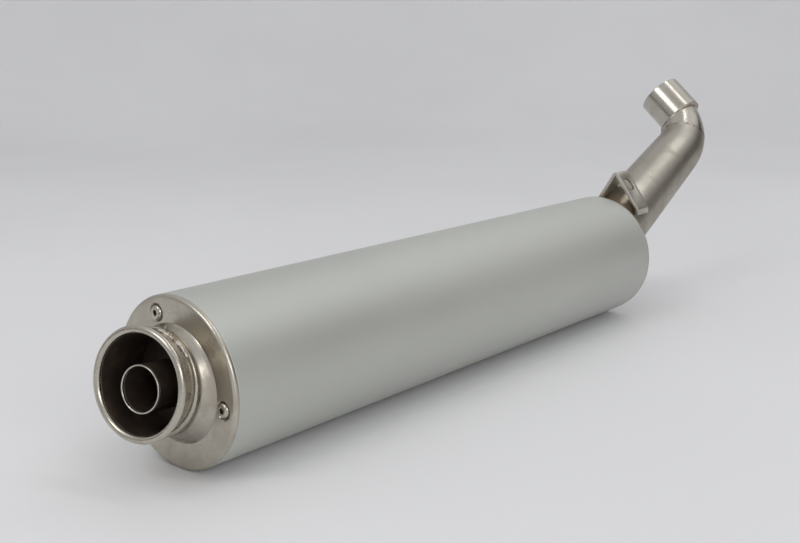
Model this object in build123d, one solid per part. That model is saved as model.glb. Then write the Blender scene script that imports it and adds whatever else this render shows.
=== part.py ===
from build123d import *
import os
from math import cos, radians, sin, tan

# Straight-through motorcycle exhaust muffler, in millimetres.
# The canister lies along Y, with its tail at Y = 0 and its inlet end at Y = CAN_LENGTH. +Z is up.
# The origin is on the canister's axis, at the rear edge of the outer sleeve.

# Canister
CAN_RADIUS = 52.0
CAN_LENGTH = 480.0
SLEEVE_WALL = 1.5
SLEEVE_CHAMFER = 0.3

# End caps: pressed cups with a flat face, a rounded edge and a spigot inside the sleeve
CAP_DEPTH = 3.0
CAP_SHEET = 2.0
CAP_EDGE_RADIUS = 2.2
SPIGOT_LENGTH = 14.0
SPIGOT_WALL = 1.5
SEAM_GAP = 0.25
FIT_GAP = 0.1

# Cap screws: M5 button heads in shallow dimples
SCREW_PITCH_RADIUS = 42.0
REAR_SCREW_ANGLES = (-18.5, 99.5, 221.5)
FRONT_SCREW_ANGLES = (75.0, 180.0, 285.0)
SCREW_RADIUS = 2.5
SCREW_LENGTH = 18.0
SCREW_HOLE_RADIUS = 2.75
HEAD_RADIUS = 4.4
HEAD_HEIGHT = 2.4
HEAD_ROUNDING = 1.7
SOCKET_WIDTH = 3.2
SOCKET_DEPTH = 1.6
DIMPLE_RADIUS = 5.2
DIMPLE_DEPTH = 1.2

# Inner frame: a perforated core tube between two end plates that the screws pull on
CORE_RADIUS = 21.0
CORE_WALL = 1.2
PLATE_SETBACK = 12.0
PLATE_THICKNESS = 4.0
PERFORATION_RADIUS = 3.5
PERFORATION_PITCH = 20.0
PERFORATIONS_AROUND = 6
WOOL_END_GAP = 0.5

# Tail: outlet tube with a rolled lip, leaning outwards and up
LIP_CENTRE = (4.1, -32.4, 7.4)
TAIL_LEAN_DEG = 10.5
TAIL_RISE_DEG = 8.0
OUTLET_RADIUS = 29.5
OUTLET_WALL = 1.1
LIP_ROLL_RADIUS = 2.3
LIP_RADIUS = 33.2

# Boss: skewed neck ring between the cap's flat face and the outlet tube
BOSS_BASE_RADIUS = 35.5
BOSS_BASE_OFFSET = (1.2, 0.3)
BOSS_TOP_RADIUS = 30.7
BOSS_TOP_DEPTH = 18.0
BOSS_LAND_RADIUS = 31.3
BOSS_LAND_DEPTH = 13.0
BOSS_LAND_LENGTH = 3.2

# Stitch weld between outlet tube and boss
STITCH_BEAD_RADIUS = 1.7
STITCH_START_DEG = -85.0
STITCH_SWEEP_DEG = 50.0

# Sound insert: small pipe in a plate inside the outlet tube
INSERT_RADIUS = 13.9
INSERT_WALL = 1.0
INSERT_DROP = 2.8
INSERT_SETBACK = 2.6
INSERT_LENGTH = 40.0
INSERT_PLATE_DEPTH = 36.0
INSERT_PLATE_THICKNESS = 1.5

# Link pipe: tapered straight run, then a tapering bend up to the inlet collar
LINK_ROOT = (2.0, 484.0, 9.2)
LINK_LEAN_DEG = 8.87
LINK_RISE_DEG = 34.2
LINK_WALL = 1.2
LINK_ROOT_RADIUS = 28.3
LINK_RUN = 133.0
BEND_START_RADIUS = 22.8
BEND_RADIUS = 47.3
BEND_DEG = 71.1
SEAM_DEG = 26.0
ELBOW_END_DEG = 62.0
ELBOW_END_RADIUS = 17.9
BEND_SECTIONS = 4
SEAM_BEAD_RADIUS = 1.2

# Inlet collar: its axis is the bend's end direction
COLLAR_DIRECTION = (-0.752, 0.062, 0.656)
COLLAR_OVERLAP = 15.9
COLLAR_RADIUS = 20.5
COLLAR_WALL = 1.4
COLLAR_LENGTH = 33.0
COLLAR_BEAD_LENGTH = 1.2

# Welds round the link pipe's root and under the bracket's legs
NECK_BEAD_WIDTH = 2.5
BRACKET_BEAD = 2.2
BRACKET_BEAD_CLEAR = 28.0

# Hanger bracket: folded strap over the link pipe, with a bolt hole in its outer leg
STRAP_SHEET = 3.0
STRAP_WIDTH = 20.0
STRAP_REAR_Y = 491.0
STRAP_APEX = (10.0, 76.4)
OUTER_SLOPE_DEG = 54.0
INNER_SLOPE_DEG = 58.0
STRAP_LEG = 38.5
STRAP_FOLD_RADIUS = 1.5
FLANGE_DROP = 5.0
FLANGE_BEND_RADIUS = 3.0
BOLT_HOLE_RADIUS = 6.5
BOLT_HOLE_DOWN = 14.0

BIG = 400.0

CANISTER = Plane(origin=(0, 0, 0), x_dir=(1, 0, 0), z_dir=(0, 1, 0))
INLET_END = Plane(origin=(0, CAN_LENGTH, 0), x_dir=(1, 0, 0), z_dir=(0, -1, 0))


def leaning(lean_deg, rise_deg):
    """Unit vector that leaves along +Y, leans towards +X and rises towards +Z."""
    lean, rise = radians(lean_deg), radians(rise_deg)
    return Vector(sin(lean) * cos(rise), cos(lean) * cos(rise), sin(rise))


def turned(frame, points):
    """Solid of revolution about the frame's Z axis, from (radius, distance) points."""
    profile = Plane.XZ * make_face(Polyline(*points, close=True))
    return frame * revolve(profile, Axis.Z)


def rod(frame, radius, start, end):
    """Cylinder on the frame's Z axis between two distances."""
    low = (Align.CENTER, Align.CENTER, Align.MIN)
    return frame * Pos(0, 0, start) * Cylinder(radius, end - start, align=low)


def pipe(frame, outer, wall, start, end):
    """Straight tube on the frame's Z axis."""
    return rod(frame, outer, start, end) - rod(frame, outer - wall, start - 1, end + 1)


def slab(low_y, high_y):
    """Everything near the object between two heights along the canister."""
    return Pos(0, (low_y + high_y) / 2, 0) * Box(BIG, high_y - low_y, BIG)


# Tail frame: Z runs inwards from the lip plane, X stays level
TAIL_OUT = Vector(tan(radians(TAIL_LEAN_DEG)), -1, tan(radians(TAIL_RISE_DEG))).normalized()
TAIL = Plane(origin=LIP_CENTRE, x_dir=Vector(0, 0, 1).cross(TAIL_OUT), z_dir=-TAIL_OUT)

# Link frames: LINK at the root on the canister, BEND where the straight run ends
LINK_DIRECTION = leaning(LINK_LEAN_DEG, LINK_RISE_DEG)
COLLAR_AXIS = Vector(*COLLAR_DIRECTION).normalized()
TOWARDS_COLLAR = COLLAR_AXIS - LINK_DIRECTION * COLLAR_AXIS.dot(LINK_DIRECTION)
LINK = Plane(origin=LINK_ROOT, x_dir=TOWARDS_COLLAR, z_dir=LINK_DIRECTION)
BEND = LINK.offset(LINK_RUN)
LINK_TAPER = (LINK_ROOT_RADIUS - BEND_START_RADIUS) / LINK_RUN


def bend_section(angle_deg):
    """Plane square to the bend's centre line at an angle along it."""
    across, along = sin(radians(angle_deg)), cos(radians(angle_deg))
    origin = BEND.origin + BEND.x_dir * (BEND_RADIUS * (1 - along)) + BEND.z_dir * (BEND_RADIUS * across)
    return Plane(origin=origin, x_dir=BEND.y_dir, z_dir=BEND.x_dir * across + BEND.z_dir * along)


def bend_radius_at(angle_deg):
    """Outer radius of the tapering bend at an angle along it."""
    share = angle_deg / ELBOW_END_DEG
    return BEND_START_RADIUS + (ELBOW_END_RADIUS - BEND_START_RADIUS) * share


def bend_solid(start_deg, end_deg, shrink):
    """Solid tapering bend between two angles, its radius reduced by shrink."""
    step = (end_deg - start_deg) / BEND_SECTIONS
    angles = [start_deg + step * i for i in range(BEND_SECTIONS + 1)]
    return loft([bend_section(a) * Circle(bend_radius_at(a) - shrink) for a in angles])


def link_cone(start, end, grow):
    """Solid straight run of the link pipe between two distances, its radius increased by grow."""
    low = (Align.CENTER, Align.CENTER, Align.MIN)
    radii = [LINK_ROOT_RADIUS - LINK_TAPER * distance + grow for distance in (start, end)]
    return LINK * Pos(0, 0, start) * Cone(radii[0], radii[1], end - start, align=low)


COLLAR = Plane(
    origin=bend_section(BEND_DEG).origin - COLLAR_AXIS * COLLAR_OVERLAP,
    x_dir=bend_section(BEND_DEG).x_dir,
    z_dir=COLLAR_AXIS,
)


def make_sleeve():
    outer, inner = CAN_RADIUS, CAN_RADIUS - SLEEVE_WALL
    chamfer_end = CAN_LENGTH - SLEEVE_CHAMFER
    return turned(
        CANISTER,
        [
            (inner, 0),
            (outer - SLEEVE_CHAMFER, 0),
            (outer, SLEEVE_CHAMFER),
            (outer, chamfer_end),
            (outer - SLEEVE_CHAMFER, CAN_LENGTH),
            (inner, CAN_LENGTH),
        ],
    )


def screw_places(angles):
    """Places of the screws on a cap's pitch circle, angles from +Z towards +X."""
    turns = [radians(angle) for angle in angles]
    return [(SCREW_PITCH_RADIUS * sin(t), SCREW_PITCH_RADIUS * cos(t)) for t in turns]


def screw_frames(end, angles):
    """Frames on a cap's flat face, Z pointing into the canister."""
    face = end.offset(-CAP_DEPTH)
    inwards = end.z_dir
    return [
        Plane(origin=face.origin + Vector(x, 0, z), x_dir=(1, 0, 0), z_dir=inwards)
        for x, z in screw_places(angles)
    ]


def make_cap(end, angles):
    """Cap without its pipe hole: flat face, rounded edge, shoulder and spigot."""
    spigot = CAN_RADIUS - SLEEVE_WALL - FIT_GAP
    bore = spigot - SPIGOT_WALL
    cap = turned(
        end,
        [
            (0, -CAP_DEPTH),
            (CAN_RADIUS, -CAP_DEPTH),
            (CAN_RADIUS, -SEAM_GAP),
            (spigot, -SEAM_GAP),
            (spigot, SPIGOT_LENGTH),
            (bore, SPIGOT_LENGTH),
            (bore, CAP_SHEET - CAP_DEPTH),
            (0, CAP_SHEET - CAP_DEPTH),
        ],
    )
    face_y = (end.origin - end.z_dir * CAP_DEPTH).Y
    rim = [
        edge
        for edge in cap.edges().filter_by(GeomType.CIRCLE)
        if abs(edge.radius - CAN_RADIUS) < 0.01 and abs(edge.arc_center.Y - face_y) < 0.01
    ]
    cap = fillet(rim, CAP_EDGE_RADIUS)
    for frame in screw_frames(end, angles):
        cap -= rod(frame, DIMPLE_RADIUS, -1, DIMPLE_DEPTH)
        cap -= rod(frame, SCREW_HOLE_RADIUS, -1, CAP_SHEET + 1)
    return cap


def make_screws(end, angles):
    """Button-head socket screws, seated in the cap's dimples."""
    head = Cylinder(HEAD_RADIUS, HEAD_HEIGHT, align=(Align.CENTER, Align.CENTER, Align.MAX))
    head = fillet(head.edges().filter_by(GeomType.CIRCLE).sort_by(Axis.Z)[0], HEAD_ROUNDING)
    socket = extrude(RegularPolygon(SOCKET_WIDTH / 2, 6, major_radius=False), SOCKET_DEPTH)
    shank = Cylinder(SCREW_RADIUS, SCREW_LENGTH, align=(Align.CENTER, Align.CENTER, Align.MIN))
    screw = head + shank - Pos(0, 0, -HEAD_HEIGHT) * socket
    seats = [frame.offset(DIMPLE_DEPTH) for frame in screw_frames(end, angles)]
    return Compound([(seat * screw).solid() for seat in seats])


def make_end_plate(end, angles):
    """Disc round the core tube, with threaded holes for the cap screws."""
    rim = CAN_RADIUS - SLEEVE_WALL - SPIGOT_WALL - 3 * FIT_GAP
    start, finish = PLATE_SETBACK, PLATE_SETBACK + PLATE_THICKNESS
    plate = pipe(end, rim, rim - CORE_RADIUS - FIT_GAP / 2, start, finish)
    for frame in screw_frames(end, angles):
        plate -= rod(frame, SCREW_RADIUS + FIT_GAP / 2, 0, BIG / 10)
    return plate


def make_core_tube():
    """Perforated gas tube from end plate to end plate, alternate rings of holes staggered."""
    start, finish = PLATE_SETBACK, CAN_LENGTH - PLATE_SETBACK
    core = pipe(CANISTER, CORE_RADIUS, CORE_WALL, start, finish)
    rings = int((finish - start - 3 * PERFORATION_PITCH) / PERFORATION_PITCH)
    step = 360 / PERFORATIONS_AROUND / 2
    punches = []
    for ring in range(rings + 1):
        y = start + 1.5 * PERFORATION_PITCH + ring * PERFORATION_PITCH
        for k in range(PERFORATIONS_AROUND // 2):
            turn = Rot(0, k * 2 * step + (ring % 2) * step, 0)
            punches.append(Pos(0, y, 0) * turn * Cylinder(PERFORATION_RADIUS, 3 * CORE_RADIUS))
    return core - punches


def make_glass_wool():
    """Packing between the core tube and the sleeve."""
    outer = CAN_RADIUS - SLEEVE_WALL - 3 * FIT_GAP
    start = PLATE_SETBACK + PLATE_THICKNESS + WOOL_END_GAP
    return pipe(CANISTER, outer, outer - CORE_RADIUS - 2 * FIT_GAP, start, CAN_LENGTH - start)


def make_outlet_tube():
    """Tail tube with a rolled lip, cut square to the canister where it meets the end plate."""
    roll_centre = LIP_RADIUS - LIP_ROLL_RADIUS
    inner = OUTLET_RADIUS - OUTLET_WALL
    tube = rod(TAIL, OUTLET_RADIUS, LIP_ROLL_RADIUS, BIG / 4)
    tube += TAIL.offset(LIP_ROLL_RADIUS) * Torus(roll_centre, LIP_ROLL_RADIUS)
    tube -= rod(TAIL, inner, -BIG / 10, BIG / 2)
    return tube - slab(PLATE_SETBACK - FIT_GAP, BIG)


def make_outlet_boss():
    """Neck ring: round flare on the cap, hollow, then a land square to the tilted outlet tube."""
    x, z = BOSS_BASE_OFFSET
    base = Plane(origin=(x, -CAP_DEPTH, z), x_dir=(1, 0, 0), z_dir=(0, -1, 0))
    top = Plane(origin=TAIL.offset(BOSS_TOP_DEPTH).origin, x_dir=(1, 0, 0), z_dir=TAIL_OUT)
    boss = loft([base * Circle(BOSS_BASE_RADIUS), top * Circle(BOSS_TOP_RADIUS)], ruled=True)
    boss += turned(
        TAIL,
        [
            (0, BOSS_LAND_DEPTH),
            (BOSS_LAND_RADIUS, BOSS_LAND_DEPTH),
            (BOSS_LAND_RADIUS, BOSS_LAND_DEPTH + BOSS_LAND_LENGTH),
            (BOSS_TOP_RADIUS, BOSS_TOP_DEPTH),
            (0, BOSS_TOP_DEPTH),
        ],
    )
    return boss - rod(TAIL, OUTLET_RADIUS + FIT_GAP / 2, 0, BIG / 4)


def make_outlet_weld(boss):
    """Stitch weld on the upper side of the tube, against the boss's land."""
    place = Pos(OUTLET_RADIUS + STITCH_BEAD_RADIUS / 2, BOSS_LAND_DEPTH - STITCH_BEAD_RADIUS / 2)
    section = Plane.XZ * place * Circle(STITCH_BEAD_RADIUS)
    bead = TAIL * Rot(0, 0, STITCH_START_DEG) * revolve(section, Axis.Z, STITCH_SWEEP_DEG)
    return bead - rod(TAIL, OUTLET_RADIUS + FIT_GAP / 4, 0, BIG / 4) - boss


INSERT = Plane(origin=TAIL.origin - Vector(0, 0, INSERT_DROP), x_dir=TAIL.x_dir, z_dir=TAIL.z_dir)


def make_insert_pipe():
    return pipe(INSERT, INSERT_RADIUS, INSERT_WALL, INSERT_SETBACK, INSERT_SETBACK + INSERT_LENGTH)


def make_insert_plate():
    """Disc that closes the ring between the insert pipe and the outlet tube."""
    edge = OUTLET_RADIUS - OUTLET_WALL - FIT_GAP / 2
    finish = INSERT_PLATE_DEPTH + INSERT_PLATE_THICKNESS
    disc = rod(TAIL, edge, INSERT_PLATE_DEPTH, finish)
    return disc - rod(INSERT, INSERT_RADIUS + FIT_GAP / 2, 0, BIG / 4)


def make_link_pipe():
    """Tapered straight run and the first part of the bend, up to the weld seam."""
    inner_end = -BIG / 10
    outer = link_cone(inner_end, LINK_RUN, 0) + bend_solid(0, SEAM_DEG, 0)
    hollow = link_cone(inner_end, LINK_RUN, -LINK_WALL) + bend_solid(0, SEAM_DEG, LINK_WALL)
    return outer - hollow - slab(0, CAN_LENGTH - PLATE_SETBACK + FIT_GAP)


def beyond_collar_plane():
    """Everything on the collar's side of the plane where the elbow ends."""
    return COLLAR * Box(BIG, BIG, BIG, align=(Align.CENTER, Align.CENTER, Align.MIN))


def make_link_elbow():
    """Polished end of the bend, cut square to the collar's axis."""
    outer = bend_solid(SEAM_DEG, ELBOW_END_DEG, 0)
    hollow = bend_solid(SEAM_DEG, ELBOW_END_DEG, LINK_WALL)
    return outer - hollow - beyond_collar_plane()


def make_elbow_weld():
    """Ground-down bead round the seam between link pipe and elbow."""
    seam = bend_section(SEAM_DEG)
    radius = bend_radius_at(SEAM_DEG) - SEAM_BEAD_RADIUS / 3
    bead = seam * Torus(radius, SEAM_BEAD_RADIUS)
    return bead - bend_solid(SEAM_DEG / 2, ELBOW_END_DEG, 0)


def make_inlet_collar():
    start = COLLAR_BEAD_LENGTH
    return pipe(COLLAR, COLLAR_RADIUS, COLLAR_WALL, start, start + COLLAR_LENGTH)


def make_collar_weld():
    """Narrow ring that joins the elbow's end to the collar, set in from the collar's surface."""
    wall = COLLAR_WALL - 2 * FIT_GAP
    return pipe(COLLAR, COLLAR_RADIUS - 2 * FIT_GAP, wall, 0, COLLAR_BEAD_LENGTH)


def make_front_cap():
    cap = make_cap(INLET_END, FRONT_SCREW_ANGLES)
    return cap - link_cone(-BIG / 10, LINK_RUN, FIT_GAP)


def make_rear_cap():
    cap = make_cap(CANISTER, REAR_SCREW_ANGLES)
    return cap - rod(TAIL, OUTLET_RADIUS + FIT_GAP, 0, BIG / 4)


def make_neck_weld():
    """Bead round the link pipe on the front cap's face."""
    face = CAN_LENGTH + CAP_DEPTH
    inner_end = -BIG / 10
    ring = link_cone(inner_end, LINK_RUN, NECK_BEAD_WIDTH) - link_cone(inner_end, LINK_RUN, FIT_GAP / 2)
    return ring & slab(face, face + NECK_BEAD_WIDTH)


def strap_corners():
    """Centre line of the folded strap: an inverted V with a short foot flange, in X and Z."""
    x, z = STRAP_APEX
    outer, inner = radians(OUTER_SLOPE_DEG), radians(INNER_SLOPE_DEG)
    z -= STRAP_SHEET / 2 / cos((outer + inner) / 2)
    left = (x - STRAP_LEG * cos(inner), z - STRAP_LEG * sin(inner))
    right = (x + STRAP_LEG * cos(outer), z - STRAP_LEG * sin(outer))
    foot = (right[0], right[1] - FLANGE_DROP)
    return left, (x, z), right, foot


def strap_solid(line, sheet):
    """A strap of some thickness along a line in X and Z, before it is fitted to the pipe."""
    rear_edge = Plane(origin=(0, STRAP_REAR_Y, 0), x_dir=(1, 0, 0), z_dir=(0, -1, 0))
    return extrude(rear_edge * trace(line, sheet), -STRAP_WIDTH)


def bolt_hole_frame():
    """Frame halfway through the strap's outer leg, Z pointing out of the leg."""
    slope = radians(OUTER_SLOPE_DEG)
    _, (x, z), _, _ = strap_corners()
    fold = Vector(x, STRAP_REAR_Y + STRAP_WIDTH / 2, z)
    centre = fold + Vector(cos(slope), 0, -sin(slope)) * BOLT_HOLE_DOWN
    return Plane(origin=centre, x_dir=(0, 1, 0), z_dir=(sin(slope), 0, cos(slope)))


def make_hanger_bracket():
    bends = [STRAP_FOLD_RADIUS, FLANGE_BEND_RADIUS]
    bracket = strap_solid(FilletPolyline(*strap_corners(), radius=bends), STRAP_SHEET)
    bracket -= rod(bolt_hole_frame(), BOLT_HOLE_RADIUS, -STRAP_SHEET, STRAP_SHEET)
    bracket -= link_cone(0, LINK_RUN, FIT_GAP / 2)
    return bracket.solids().sort_by(SortBy.VOLUME)[-1]


def make_bracket_welds(bracket):
    """Beads along the strap's legs where they stand on the link pipe."""
    beads = strap_solid(Polyline(*strap_corners()), STRAP_SHEET + 2 * BRACKET_BEAD)
    beads = (beads & link_cone(0, LINK_RUN, BRACKET_BEAD)) - link_cone(0, LINK_RUN, FIT_GAP / 4) - bracket
    beads -= Pos(STRAP_APEX[0], STRAP_REAR_Y, 0) * Box(BRACKET_BEAD_CLEAR, BIG, BIG)
    return Compound([bead for bead in beads.solids() if bead.volume > 5])


def build():
    boss = make_outlet_boss()
    bracket = make_hanger_bracket()
    return {
        "sleeve": make_sleeve(),
        "rear_cap": make_rear_cap(),
        "front_cap": make_front_cap(),
        "rear_screws": make_screws(CANISTER, REAR_SCREW_ANGLES),
        "front_screws": make_screws(INLET_END, FRONT_SCREW_ANGLES),
        "rear_end_plate": make_end_plate(CANISTER, REAR_SCREW_ANGLES),
        "front_end_plate": make_end_plate(INLET_END, FRONT_SCREW_ANGLES),
        "core_tube": make_core_tube(),
        "glass_wool": make_glass_wool(),
        "outlet_boss": boss,
        "outlet_tube": make_outlet_tube(),
        "outlet_weld": make_outlet_weld(boss),
        "insert_pipe": make_insert_pipe(),
        "insert_plate": make_insert_plate(),
        "link_pipe": make_link_pipe(),
        "neck_weld": make_neck_weld(),
        "link_elbow": make_link_elbow(),
        "elbow_weld": make_elbow_weld(),
        "inlet_collar": make_inlet_collar(),
        "collar_weld": make_collar_weld(),
        "hanger_bracket": bracket,
        "bracket_welds": make_bracket_welds(bracket),
    }


os.makedirs("parts", exist_ok=True)
for node, shape in build().items():
    export_step(shape, f"parts/{node}.step")
    print(node, round(shape.volume), "mm3")
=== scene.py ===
"""Looks of a straight-through motorcycle exhaust muffler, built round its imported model.

The canister lies along Y with its tail at Y = 0. Sizes in the classes are millimetres, like a
workshop drawing's, and every mesh is written in metres.
"""

import logging
import math
from dataclasses import dataclass, field
from enum import Enum
from typing import Callable, Sequence

import bmesh
import bpy
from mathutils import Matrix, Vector


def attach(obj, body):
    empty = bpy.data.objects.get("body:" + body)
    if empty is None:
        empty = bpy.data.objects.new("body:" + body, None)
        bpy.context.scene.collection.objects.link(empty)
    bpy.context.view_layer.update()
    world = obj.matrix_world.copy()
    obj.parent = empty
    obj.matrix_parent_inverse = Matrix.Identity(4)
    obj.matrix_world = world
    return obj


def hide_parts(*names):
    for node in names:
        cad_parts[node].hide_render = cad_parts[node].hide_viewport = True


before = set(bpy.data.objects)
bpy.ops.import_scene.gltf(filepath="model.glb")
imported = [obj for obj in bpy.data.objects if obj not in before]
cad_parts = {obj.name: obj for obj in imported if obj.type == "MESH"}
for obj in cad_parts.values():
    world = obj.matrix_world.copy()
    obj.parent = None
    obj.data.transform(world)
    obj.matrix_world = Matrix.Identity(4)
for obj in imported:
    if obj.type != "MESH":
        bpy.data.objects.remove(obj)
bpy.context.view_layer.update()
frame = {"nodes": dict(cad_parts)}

LOG = logging.getLogger("muffler")
MM = 0.001
TURN = 2.0 * math.pi

Ring = list[Vector]
Profile = list[tuple[float, float]]
Socket = bpy.types.NodeSocket
Colour = tuple[float, float, float]


class Slot(Enum):
    """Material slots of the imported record."""

    SLEEVE = "blasted_aluminium"
    CAP = "cap_steel"
    BOSS = "boss_steel"
    OUTLET = "outlet_steel"
    INSERT = "insert_steel"
    WELD = "weld_steel"
    SCREW = "screw_steel"
    LINK = "link_steel"
    ELBOW = "elbow_steel"
    COLLAR = "collar_steel"
    BRACKET = "bracket_steel"


# ---------------------------------------------------------------- bench geometry


@dataclass(frozen=True)
class Jig:
    """A right-handed working frame that pieces are turned or swept in.

    Args:
        origin: its place, in millimetres.
        x: first direction, of unit length.
        z: axis of the jig, of unit length.
    """

    origin: Vector
    x: Vector
    z: Vector

    @property
    def y(self) -> Vector:
        """Third direction of the jig."""
        return self.z.cross(self.x)

    @staticmethod
    def along(origin: Sequence[float], z: Sequence[float], x: Sequence[float]) -> "Jig":
        """Makes a jig from an axis and a rough first direction.

        Args:
            origin: its place.
            z: direction of its axis, of any length.
            x: rough first direction, squared up to the axis.

        Returns:
            The jig.
        """
        axis = Vector(z).normalized()
        rough = Vector(x)
        return Jig(Vector(origin), (rough - axis * rough.dot(axis)).normalized(), axis)

    def at(self, x: float, y: float, z: float) -> Vector:
        """Point at three distances along the jig's directions."""
        return self.origin + self.x * x + self.y * y + self.z * z

    def around(self, radius: float, turn: float, z: float) -> Vector:
        """Point at a radius, an angle in radians and a distance along the axis."""
        return self.at(radius * math.cos(turn), radius * math.sin(turn), z)

    def shifted(self, z: float) -> "Jig":
        """The same jig moved along its axis."""
        return Jig(self.origin + self.z * z, self.x, self.z)

    def radius_of(self, point: Vector) -> float:
        """Distance of a point from the jig's axis."""
        rel = point - self.origin
        return (rel - self.z * rel.dot(self.z)).length


def turns(count: int) -> list[float]:
    """Evenly spaced angles round a full turn."""
    return [TURN * i / count for i in range(count)]


def smooth(share: float) -> float:
    """Eases a share from 0 to 1 with level ends."""
    t = min(1.0, max(0.0, share))
    return t * t * (3.0 - 2.0 * t)


def blend_curve(stops: Sequence[tuple[float, float]], at: float) -> float:
    """Reads a smooth curve that runs through some stops.

    Args:
        stops: places and values, places rising.
        at: where to read.

    Returns:
        The value there, held at both ends.
    """
    at = min(max(at, stops[0][0]), stops[-1][0])
    slopes = []
    for i in range(len(stops)):
        before, after = stops[max(i - 1, 0)], stops[min(i + 1, len(stops) - 1)]
        slopes.append((after[1] - before[1]) / (after[0] - before[0]))
    for (x0, y0), (x1, y1), m0, m1 in zip(stops, stops[1:], slopes, slopes[1:]):
        if at <= x1:
            wide = x1 - x0
            t = (at - x0) / wide
            rise = y0 * (2 * t**3 - 3 * t**2 + 1) + y1 * (3 * t**2 - 2 * t**3)
            return rise + wide * (m0 * (t**3 - 2 * t**2 + t) + m1 * (t**3 - t**2))
    return stops[-1][1]


def rounded(corners: Sequence[tuple[float, float, float]], steps: int = 4, hold: float = 0.35) -> Profile:
    """Rounds the corners of a closed profile and holds the flats beside them.

    Args:
        corners: (radius, distance, rounding) of each corner in order.
        steps: facets in each rounded corner.
        hold: distance of the holding points beyond each rounding.

    Returns:
        The rounded profile.
    """
    out: Profile = []
    count = len(corners)
    for i, (r, z, fillet) in enumerate(corners):
        here = Vector((r, z))
        before = Vector(corners[i - 1][:2]) - here
        after = Vector(corners[(i + 1) % count][:2]) - here
        reach = min(before.length, after.length) * 0.45
        a, b = before.normalized(), after.normalized()
        half = a.angle(b) / 2.0
        if fillet <= 0.0 or half > 1.5:
            out.append((r, z))
            continue
        tangent = min(fillet / math.tan(half), reach)
        radius = tangent * math.tan(half)
        centre = here + (a + b).normalized() * (radius / math.sin(half))
        start, end = here + a * tangent, here + b * tangent
        if before.length > 3 * tangent:
            out.append(tuple(start + a * min(hold, before.length / 4)))
        first, last = start - centre, end - centre
        sweep = first.angle_signed(last)
        for k in range(steps + 1):
            angle = -sweep * k / steps
            c, s = math.cos(angle), math.sin(angle)
            out.append((centre.x + first.x * c - first.y * s, centre.y + first.x * s + first.y * c))
        if after.length > 3 * tangent:
            out.append(tuple(end + b * min(hold, after.length / 4)))
    return out


def lathe_rings(jig: Jig, profile: Profile, count: int) -> list[Ring]:
    """Turns a profile about a jig's axis.

    Args:
        jig: frame whose axis the profile turns about.
        profile: (radius, distance) points.
        count: points round each ring.

    Returns:
        One ring for each profile point.
    """
    return [[jig.around(r, t, z) for t in turns(count)] for r, z in profile]


def skin(mesh: bmesh.types.BMesh, rings: Sequence[Ring], looped: bool = False, capped: bool = False) -> None:
    """Adds the surface through a row of rings to a mesh.

    Args:
        mesh: mesh that takes the faces.
        rings: rings of equal length, in millimetres.
        looped: joins the last ring to the first.
        capped: closes the first and the last ring with a face.
    """
    made = [[mesh.verts.new(p * MM) for p in ring] for ring in rings]
    pairs = list(zip(made, made[1:]))
    if looped:
        pairs.append((made[-1], made[0]))
    for low, high in pairs:
        for i in range(len(low)):
            j = (i + 1) % len(low)
            mesh.faces.new((low[i], low[j], high[j], high[i]))
    if capped:
        mesh.faces.new(list(reversed(made[0])))
        mesh.faces.new(made[-1])


def finish_piece(name: str, mesh: bmesh.types.BMesh, crease_deg: float = 38.0) -> bpy.types.Object:
    """Turns a mesh into a shown piece with smooth shading and sharp creases.

    Args:
        name: name of the piece.
        mesh: mesh to use; it is freed.
        crease_deg: angle above which an edge stays sharp.

    Returns:
        The new object.
    """
    bmesh.ops.remove_doubles(mesh, verts=mesh.verts, dist=1e-7)
    bmesh.ops.recalc_face_normals(mesh, faces=mesh.faces)
    data = bpy.data.meshes.new(name)
    mesh.to_mesh(data)
    mesh.free()
    data.shade_smooth()
    data.set_sharp_from_angle(angle=math.radians(crease_deg))
    piece = bpy.data.objects.new(name, data)
    bpy.context.scene.collection.objects.link(piece)
    return piece


def ringed_piece(name: str, rings: Sequence[Ring], looped: bool = True) -> bpy.types.Object:
    """Makes one piece from a row of rings, closed on itself unless told otherwise."""
    mesh = bmesh.new()
    skin(mesh, rings, looped=looped, capped=not looped)
    return finish_piece(name, mesh)


def bead_rings(
    path: Sequence[Vector], outwards: Sequence[Vector], width: float, height: float, pitch: float,
    closed: bool, sides: int = 14,
) -> list[Ring]:
    """Sections of a weld bead laid in overlapping scallops along a path.

    Args:
        path: points of the joint, in millimetres.
        outwards: direction that the bead's crown faces at each point.
        width: width of the bead.
        height: height of the bead above and below the joint.
        pitch: distance between scallops.
        closed: whether the path ends where it starts.
        sides: points round each section.

    Returns:
        One ring for each path point.
    """
    rings, travelled = [], 0.0
    count = len(path)
    for i, (point, out) in enumerate(zip(path, outwards)):
        ahead = path[(i + 1) % count] if closed or i + 1 < count else point
        behind = path[i - 1] if closed or i > 0 else point
        if i:
            travelled += (point - path[i - 1]).length
        along = (ahead - behind).normalized()
        side = along.cross(out).normalized()
        crown = side.cross(along).normalized()
        scallop = (travelled / pitch) % 1.0
        swell = 0.84 + 0.30 * math.sqrt(max(0.0, 1.0 - scallop * scallop))
        if not closed:
            end = min(travelled, sum((b - a).length for a, b in zip(path[i:], path[i + 1:])))
            swell *= 0.25 + 0.75 * math.sqrt(min(1.0, end / width))
        ring = []
        for t in turns(sides):
            drift = math.cos(t) ** 2 * 0.25 * width * scallop
            ring.append(
                point + side * (math.cos(t) * width / 2 * swell) + crown * (math.sin(t) * height * swell)
                + along * drift
            )
        rings.append(ring)
    return rings


# ---------------------------------------------------------------- finishes


def solid(colour: Socket | Colour) -> Socket | tuple[float, float, float, float]:
    """A colour with full cover, or the socket that gives one."""
    return colour if isinstance(colour, bpy.types.NodeSocket) else (*colour, 1.0)


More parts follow.
